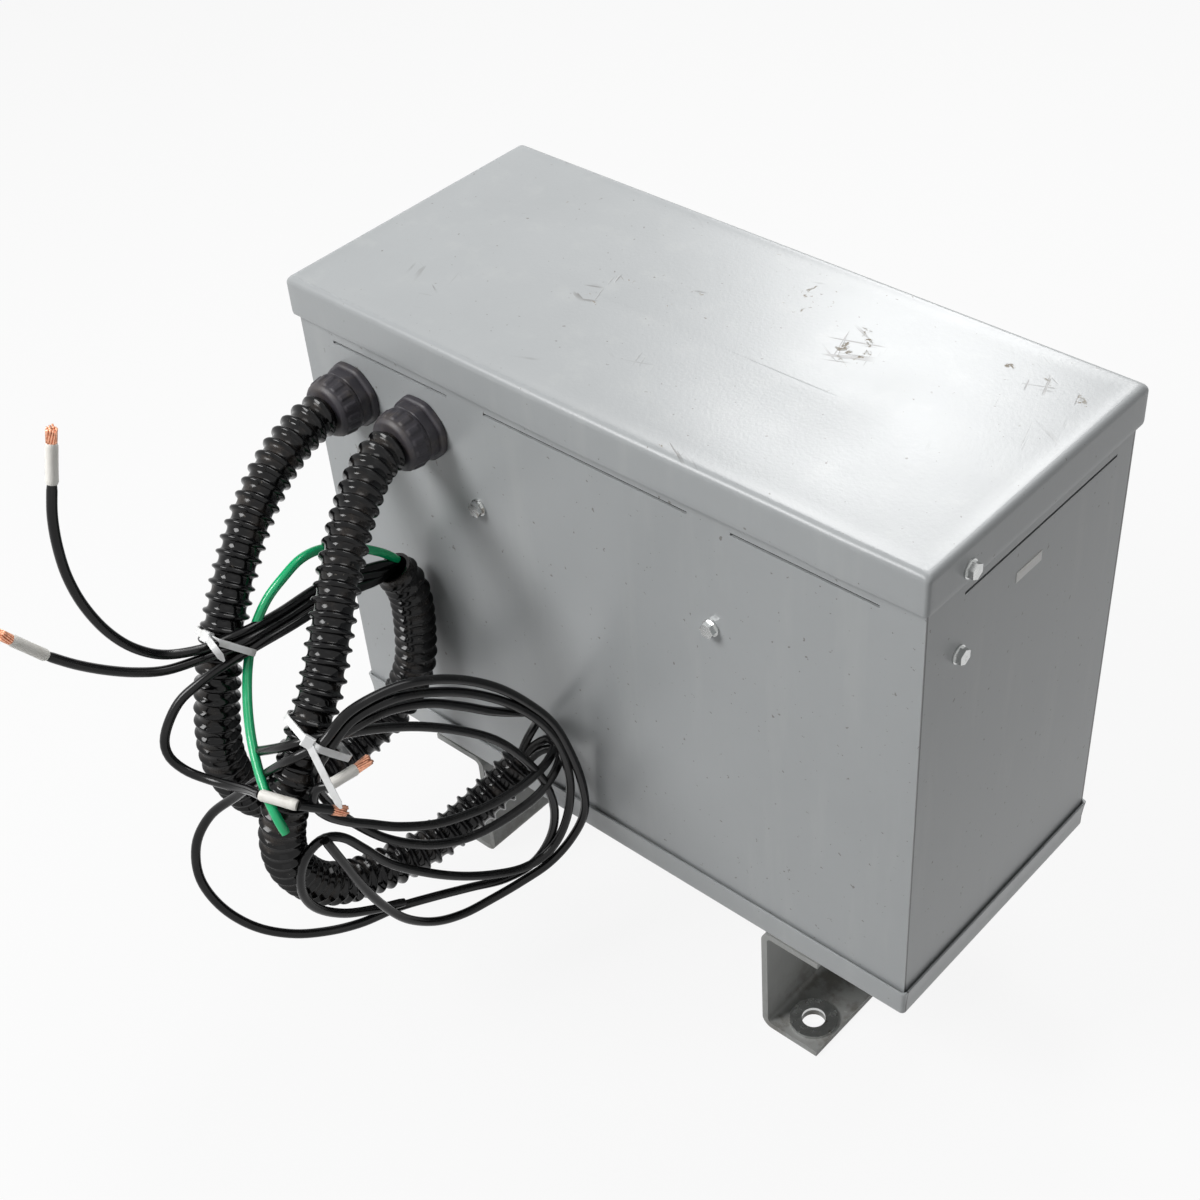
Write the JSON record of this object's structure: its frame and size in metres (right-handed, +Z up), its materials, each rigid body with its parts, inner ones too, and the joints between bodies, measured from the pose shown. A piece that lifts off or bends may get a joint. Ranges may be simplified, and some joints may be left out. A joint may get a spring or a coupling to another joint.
{
  "type": "step-down transformer",
  "caption": "Free-standing sheet-steel transformer case on channel feet, with corrugated conduits and loose wire tails at one end of its front.",
  "frame": {"origin": "on the floor under the middle of the case, which is the middle of the bottom of the box of the object without its cords", "axes": "+X along the long front towards the end with the blank plate, +Y from the front wall to the back wall, +Z up"},
  "size_m": [0.528, 0.5306, 0.5218],
  "materials": {
    "grey_paint": "satin",
    "foot_paint": "satin",
    "zinc": "satin",
    "plate_white": "matte",
    "core_steel": "matte",
    "dark_nylon": "satin",
    "black_nylon": "gloss",
    "black_pvc": "satin",
    "green_pvc": "satin",
    "white_sleeve": "matte",
    "copper": "satin",
    "tie_nylon": "satin"
  },
  "bodies": {
    "root": {"lid": "grey_paint", "front_wall": "grey_paint", "back_wall": "grey_paint", "left_wall": "grey_paint", "right_wall": "grey_paint", "base_tray": "grey_paint", "left_foot": "foot_paint", "right_foot": "foot_paint", "foot_washers": "zinc", "front_bolts": "zinc", "back_bolts": "zinc", "left_bolt": "zinc", "right_bolt": "zinc", "left_lid_bolt": "zinc", "right_lid_bolt": "zinc", "blank_plate": "plate_white", "core_block": "core_steel", "collar_1": "dark_nylon", "gland_body_1": "dark_nylon", "gland_nut_1": "dark_nylon", "collar_2": "dark_nylon", "gland_body_2": "dark_nylon", "gland_nut_2": "dark_nylon", "conduit_1": "black_nylon", "conduit_2": "black_nylon", "green_wire": "green_pvc", "wire_a": "black_pvc", "wire_b": "black_pvc", "wire_c": "black_pvc", "wire_c_end": "black_pvc", "wire_d": "black_pvc", "wire_e": "black_pvc", "wire_f": "black_pvc", "wire_g": "black_pvc", "wire_sleeves": "white_sleeve", "bare_copper": "copper", "tie_1": "tie_nylon", "tie_2": "tie_nylon"}
  },
  "joints": []
}
